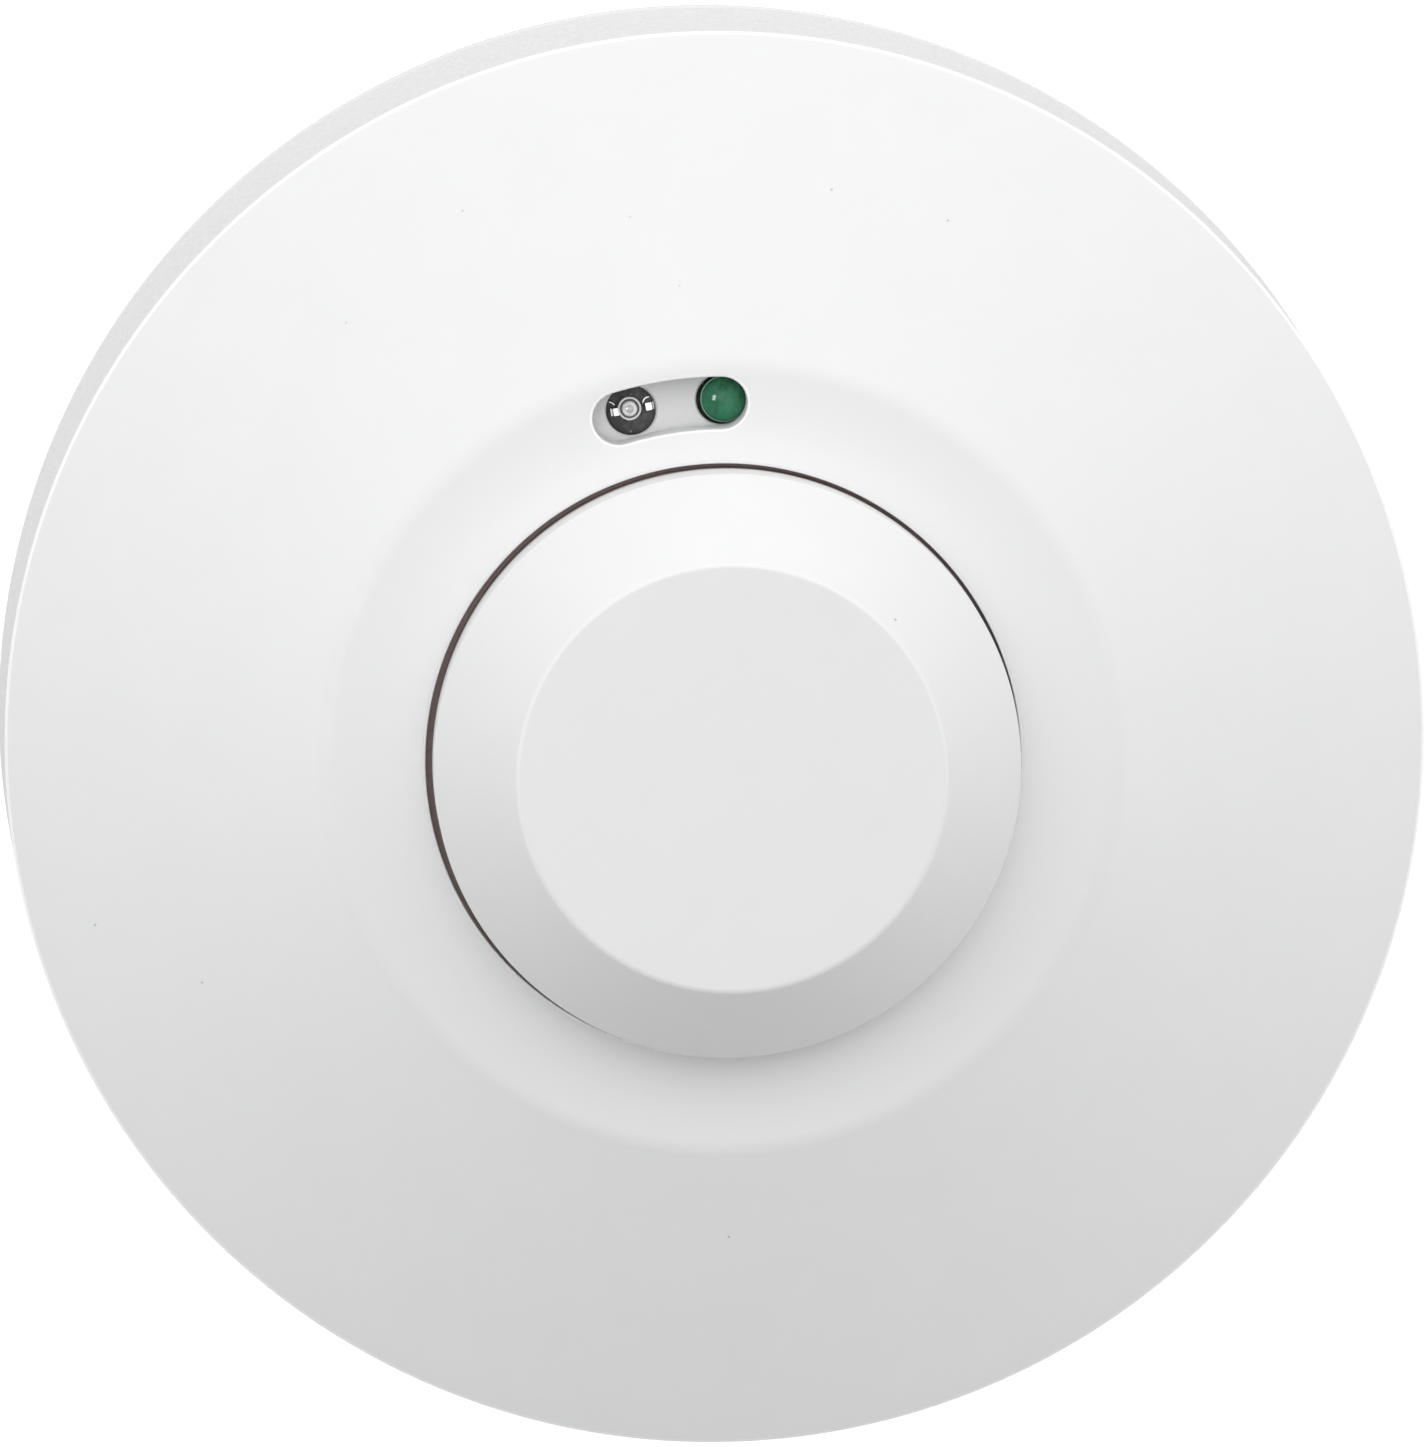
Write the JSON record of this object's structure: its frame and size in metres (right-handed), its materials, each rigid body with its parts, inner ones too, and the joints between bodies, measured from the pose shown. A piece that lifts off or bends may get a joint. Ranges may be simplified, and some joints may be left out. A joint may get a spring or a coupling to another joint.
{
  "type": "heat detector",
  "caption": "Round white ceiling heat detector: a twist-lock head with a raised press-to-test cap and an arc-shaped indicator window, on a round mounting base with screw terminals.",
  "frame": {"origin": "centre of the flat back face of the mounting base, which goes against the ceiling", "axes": "+Z out of the front, away from the ceiling; +Y towards the indicator window"},
  "size_m": [0.12, 0.12, 0.0504],
  "materials": {
    "cover_plastic": "fine matt",
    "base_plastic": "fine matt",
    "chassis_plastic": "matt",
    "shield_plastic": "satin",
    "board": "black solder mask",
    "black_package": "moulded epoxy",
    "relay_case": "satin",
    "capacitor_sleeve": "shrink sleeve",
    "thermistor_glass": "glass coating",
    "green_lens": "tinted and diffused",
    "clear_lens": "clear epoxy",
    "tinned_metal": "tinned",
    "brass": "bright",
    "steel": "zinc plated"
  },
  "bodies": {
    "base": {"mounting_base": "base_plastic", "terminal_contact_1": "brass", "terminal_contact_2": "brass", "terminal_contact_3": "brass", "terminal_contact_4": "brass", "terminal_screw_1": "steel", "terminal_screw_2": "steel", "terminal_screw_3": "steel", "terminal_screw_4": "steel"},
    "head": {"alarm_led_frame": "tinned_metal", "alarm_led_lens": "clear_lens", "board_screw_1": "steel", "board_screw_2": "steel", "board_screw_3": "steel", "capacitor_1": "capacitor_sleeve", "capacitor_2": "capacitor_sleeve", "chassis": "chassis_plastic", "circuit_board": "board", "contact_pin_1": "brass", "contact_pin_2": "brass", "contact_pin_3": "brass", "contact_pin_4": "brass", "cover_screw_1": "steel", "cover_screw_2": "steel", "cover_screw_3": "steel", "front_cover": "cover_plastic", "led_shield": "shield_plastic", "microcontroller": "black_package", "power_led": "green_lens", "power_supply": "black_package", "relay": "relay_case", "return_spring": "steel", "test_switch": "black_package", "thermistor_1": "thermistor_glass", "thermistor_2": "thermistor_glass"},
    "button": {"test_button": "cover_plastic"},
    "plunger": {"switch_plunger": "relay_case"}
  },
  "joints": [
    {"name": "head_twist", "type": "hinge", "parent": "base", "child": "head", "pos_m": [0, 0, 0.012], "axis": [0, 0, 1], "range_deg": [0, 25]},
    {"name": "button_press", "type": "slide", "parent": "head", "child": "button", "axis": [0, 0, -1], "range_m": [0, 0.0012], "stiffness_N_per_m": 1500, "springref_m": -0.001, "deforming": ["return_spring"]},
    {"name": "plunger_press", "type": "slide", "parent": "head", "child": "plunger", "axis": [0, 0, -1], "range_m": [0, 0.0012]}
  ],
  "couplings": [
    {"joint": "plunger_press", "follows": "button_press", "ratio": 1}
  ]
}
